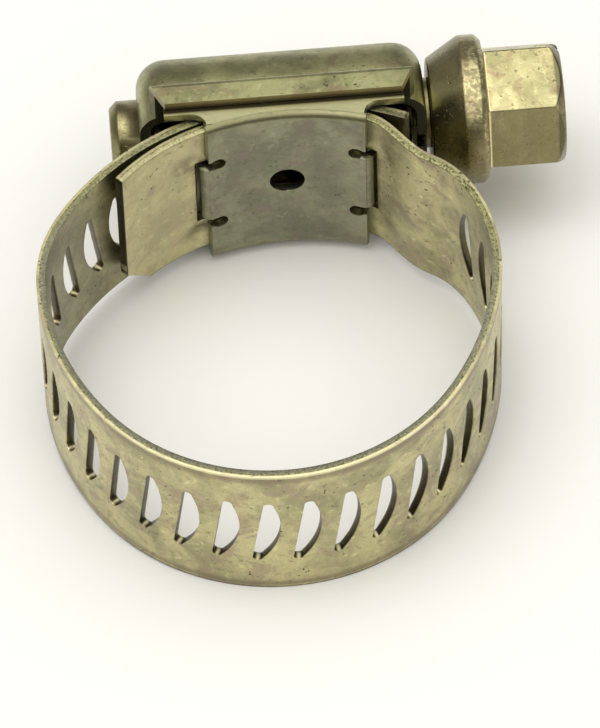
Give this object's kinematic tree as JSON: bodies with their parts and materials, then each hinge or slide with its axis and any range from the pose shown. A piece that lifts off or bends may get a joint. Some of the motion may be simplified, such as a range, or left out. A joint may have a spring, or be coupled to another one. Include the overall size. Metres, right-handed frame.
{
  "type": "hose clamp",
  "caption": "Worm-drive hose clamp: perforated steel band, pressed housing and saddle, hex-head worm screw with collar. Turning the screw closes the band.",
  "frame": {"origin": "centre of the round hose seat, at the middle of the band's width", "axes": "+Z along the hose, +Y towards the housing, +X along the screw towards its hex head"},
  "size_m": [0.0367, 0.0388, 0.0156],
  "materials": {
    "band_steel": "rolled stainless strip, satin, lightly stained",
    "stamped_steel": "pressed stainless sheet, satin, fine pits",
    "screw_steel": "turned and cold-headed steel with a warm, slightly yellow film"
  },
  "bodies": {
    "frame": {"housing": "stamped_steel", "saddle": "stamped_steel", "band_fixed_end": "band_steel"},
    "screw": {"worm_screw": "screw_steel"},
    "band_link_1": {"band_link_1": "band_steel"},
    "band_link_2": {"band_link_2": "band_steel"},
    "band_link_3": {"band_link_3": "band_steel"},
    "band_link_4": {"band_link_4": "band_steel"},
    "band_link_5": {"band_link_5": "band_steel"},
    "band_link_6": {"band_link_6": "band_steel"},
    "band_free_end": {"band_free_end": "band_steel"}
  },
  "joints": [
    {"name": "screw_turn", "type": "hinge", "parent": "frame", "child": "screw", "pos_m": [0.0022, 0.0192, 0], "axis": [-1, 0, 0], "range_deg": [0, 1080]},
    {"name": "bend_1", "type": "hinge", "parent": "frame", "child": "band_link_1", "pos_m": [0.01487, 0.00409, 0], "axis": [0, 0, -1], "range_deg": [0, 5.98]},
    {"name": "bend_2", "type": "hinge", "parent": "band_link_1", "child": "band_link_2", "pos_m": [0.01374, -0.00359, 0], "axis": [0, 0, -1], "range_deg": [0, 3.39]},
    {"name": "bend_3", "type": "hinge", "parent": "band_link_2", "child": "band_link_3", "pos_m": [0.01123, -0.0082, 0], "axis": [0, 0, -1], "range_deg": [0, 2.48]},
    {"name": "bend_4", "type": "hinge", "parent": "band_link_3", "child": "band_link_4", "pos_m": [0.0026, -0.01366, 0], "axis": [0, 0, -1], "range_deg": [0, 3.06]},
    {"name": "bend_5", "type": "hinge", "parent": "band_link_4", "child": "band_link_5", "pos_m": [-0.0026, -0.01366, 0], "axis": [0, 0, -1], "range_deg": [0, 2.64]},
    {"name": "bend_6", "type": "hinge", "parent": "band_link_5", "child": "band_link_6", "pos_m": [-0.01123, -0.0082, 0], "axis": [0, 0, -1], "range_deg": [0, 2.29]},
    {"name": "bend_7", "type": "hinge", "parent": "band_link_6", "child": "band_free_end", "pos_m": [-0.0147, 0.00157, 0], "axis": [0, 0, -1], "range_deg": [0, 5.39]}
  ],
  "couplings": [
    {"joint": "bend_1", "follows": "screw_turn", "ratio": 0.0053849},
    {"joint": "bend_2", "follows": "screw_turn", "ratio": 0.0030347},
    {"joint": "bend_3", "follows": "screw_turn", "ratio": 0.0022052},
    {"joint": "bend_4", "follows": "screw_turn", "ratio": 0.0027355},
    {"joint": "bend_5", "follows": "screw_turn", "ratio": 0.0023502},
    {"joint": "bend_6", "follows": "screw_turn", "ratio": 0.0020307},
    {"joint": "bend_7", "follows": "screw_turn", "ratio": 0.0048478}
  ]
}
